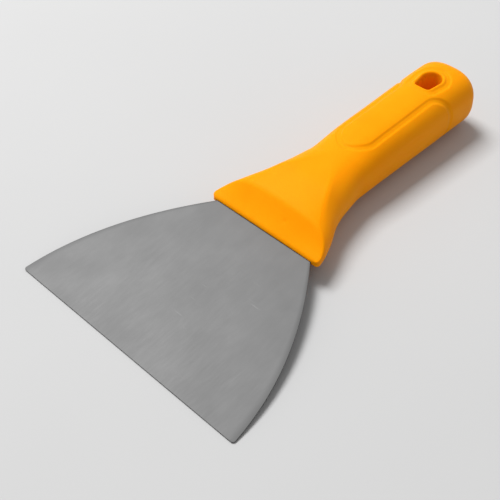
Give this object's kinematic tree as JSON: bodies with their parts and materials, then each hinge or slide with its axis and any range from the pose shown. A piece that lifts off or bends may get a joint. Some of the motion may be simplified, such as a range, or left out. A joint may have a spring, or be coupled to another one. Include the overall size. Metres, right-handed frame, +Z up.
{
  "type": "flexible putty knife",
  "caption": "Flexible putty knife: a thin fan-shaped steel blade with a straight edge, held in a moulded handle with a wedge collar, a grip skin and a hang hole.",
  "frame": {"origin": "centre of the base of the whole tool's box, as the tool lies on a flat surface", "axes": "+Y along the tool from the blade's front edge to the hang hole, +X across the blade, +Z up out of the surface it lies on"},
  "size_m": [0.1198, 0.2088, 0.029],
  "materials": {
    "blade_steel": "rolled spring steel, satin, faintly mottled",
    "handle_plastic": "moulded polypropylene, fine satin texture",
    "grip_plastic": "moulded second shot, fine satin texture"
  },
  "bodies": {
    "handle": {"handle_body": "handle_plastic", "grip_skin": "grip_plastic"},
    "blade": {"blade": "blade_steel"}
  },
  "joints": [
    {"name": "blade_flex", "type": "hinge", "parent": "handle", "child": "blade", "pos_m": [0, -0.02764, 0.0089], "axis": [1, 0, 0], "range_deg": [-18, 18], "stiffness_Nm_per_rad": 10.4, "deforming": ["blade"]}
  ]
}
